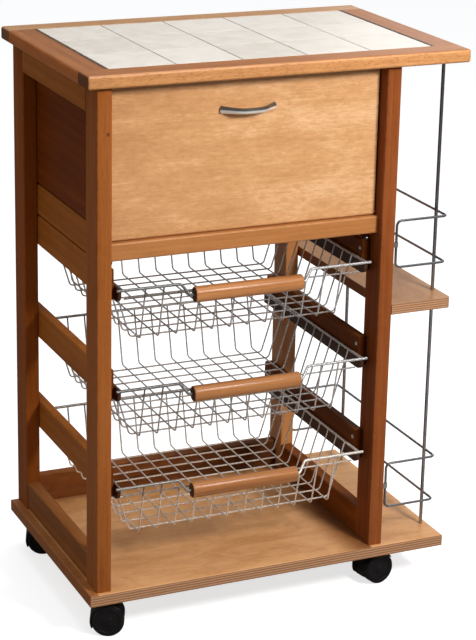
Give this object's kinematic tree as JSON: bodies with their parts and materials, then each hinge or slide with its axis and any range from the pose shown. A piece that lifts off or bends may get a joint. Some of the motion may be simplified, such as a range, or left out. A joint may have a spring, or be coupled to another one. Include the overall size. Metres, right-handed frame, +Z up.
{
  "type": "kitchen cart",
  "caption": "Rolling kitchen cart with tiled worktop, drop-flap bread compartment, sliding wire baskets and a side bottle rack with wire guards, on hooded twin-wheel casters.",
  "frame": {"origin": "on the floor under the middle of the worktop", "axes": "+Z up, +X to the right and +Y to the back, seen from the side with the flap and the basket grips"},
  "size_m": [0.606, 0.3914, 0.87],
  "materials": {
    "worktop_wood": "satin lacquer over stained beech",
    "glazed_tile": "cream glaze",
    "grout": "matt cement grout",
    "plywood": "satin lacquer",
    "frame_wood": "satin lacquer over stained beech",
    "flap_veneer": "satin lacquer over birch veneer",
    "grip_wood": "satin lacquer over stained beech",
    "chrome_wire": "bright plating",
    "bright_steel": "zinc plated",
    "brown_plastic": "moulded, matt",
    "black_plastic": "moulded, satin"
  },
  "bodies": {
    "frame": {"apron_left": "frame_wood", "apron_right": "frame_wood", "base_board": "plywood", "basket_rail_lower_left": "frame_wood", "basket_rail_lower_right": "frame_wood", "basket_rail_middle_left": "frame_wood", "basket_rail_middle_right": "frame_wood", "basket_rail_upper_left": "frame_wood", "basket_rail_upper_right": "frame_wood", "bottle_guard_lower": "chrome_wire", "bottle_guard_upper": "chrome_wire", "bottle_shelf": "plywood", "bottom_rail_left": "frame_wood", "bottom_rail_rear": "frame_wood", "bottom_rail_right": "frame_wood", "caster_plates": "bright_steel", "compartment_back": "plywood", "compartment_floor": "plywood", "compartment_rail_left": "frame_wood", "compartment_rail_right": "frame_wood", "flap_sill": "frame_wood", "guard_clips": "bright_steel", "head_rail": "frame_wood", "magnetic_catch": "brown_plastic", "post_front_left": "frame_wood", "post_front_right": "frame_wood", "post_rear_left": "frame_wood", "post_rear_right": "frame_wood", "rack_rods": "chrome_wire", "runners_lower": "brown_plastic", "runners_middle": "brown_plastic", "runners_upper": "brown_plastic", "side_panel_left": "frame_wood", "side_panel_right": "frame_wood", "tile_bed": "plywood", "tile_grout": "grout", "tiles": "glazed_tile", "worktop_end_left": "worktop_wood", "worktop_end_right": "worktop_wood", "worktop_rail_front": "worktop_wood", "worktop_rail_rear": "worktop_wood"},
    "flap": {"flap": "flap_veneer", "flap_handle": "chrome_wire", "flap_pins": "bright_steel", "catch_strike": "bright_steel"},
    "basket_lower": {"basket_lower": "chrome_wire", "basket_grip_lower": "grip_wood"},
    "basket_middle": {"basket_middle": "chrome_wire", "basket_grip_middle": "grip_wood"},
    "basket_upper": {"basket_upper": "chrome_wire", "basket_grip_upper": "grip_wood"},
    "swivel_front_left": {"caster_hood_front_left": "black_plastic"},
    "wheels_front_left": {"caster_wheels_front_left": "black_plastic"},
    "swivel_front_right": {"caster_hood_front_right": "black_plastic"},
    "wheels_front_right": {"caster_wheels_front_right": "black_plastic"},
    "swivel_rear_left": {"caster_hood_rear_left": "black_plastic"},
    "wheels_rear_left": {"caster_wheels_rear_left": "black_plastic"},
    "swivel_rear_right": {"caster_hood_rear_right": "black_plastic"},
    "wheels_rear_right": {"caster_wheels_rear_right": "black_plastic"}
  },
  "joints": [
    {"name": "flap_hinge", "type": "hinge", "parent": "frame", "child": "flap", "pos_m": [-0.044, -0.154, 0.6215], "axis": [1, 0, 0], "range_deg": [0, 90]},
    {"name": "basket_lower_slide", "type": "slide", "parent": "frame", "child": "basket_lower", "axis": [0, -1, 0], "range_m": [0, 0.24]},
    {"name": "basket_middle_slide", "type": "slide", "parent": "frame", "child": "basket_middle", "axis": [0, -1, 0], "range_m": [0, 0.24]},
    {"name": "basket_upper_slide", "type": "slide", "parent": "frame", "child": "basket_upper", "axis": [0, -1, 0], "range_m": [0, 0.24]},
    {"name": "swivel_front_left_turn", "type": "hinge", "parent": "frame", "child": "swivel_front_left", "pos_m": [-0.2725, -0.149, 0.05], "axis": [0, 0, 1], "continuous": true},
    {"name": "wheels_front_left_roll", "type": "hinge", "parent": "swivel_front_left", "child": "wheels_front_left", "pos_m": [-0.25685, -0.15564, 0.025], "axis": [0.3907, 0.9205, 0], "continuous": true},
    {"name": "swivel_front_right_turn", "type": "hinge", "parent": "frame", "child": "swivel_front_right", "pos_m": [0.1845, -0.149, 0.05], "axis": [0, 0, 1], "continuous": true},
    {"name": "wheels_front_right_roll", "type": "hinge", "parent": "swivel_front_right", "child": "wheels_front_right", "pos_m": [0.20119, -0.14576, 0.025], "axis": [-0.1908, 0.9816, 0], "continuous": true},
    {"name": "swivel_rear_left_turn", "type": "hinge", "parent": "frame", "child": "swivel_rear_left", "pos_m": [-0.2725, 0.158, 0.05], "axis": [0, 0, 1], "continuous": true},
    {"name": "wheels_rear_left_roll", "type": "hinge", "parent": "swivel_rear_left", "child": "wheels_rear_left", "pos_m": [-0.25653, 0.15219, 0.025], "axis": [0.342, 0.9397, 0], "continuous": true},
    {"name": "swivel_rear_right_turn", "type": "hinge", "parent": "frame", "child": "swivel_rear_right", "pos_m": [0.1845, 0.158, 0.05], "axis": [0, 0, 1], "continuous": true},
    {"name": "wheels_rear_right_roll", "type": "hinge", "parent": "swivel_rear_right", "child": "wheels_rear_right", "pos_m": [0.19752, 0.14707, 0.025], "axis": [0.6428, 0.766, 0], "continuous": true}
  ]
}
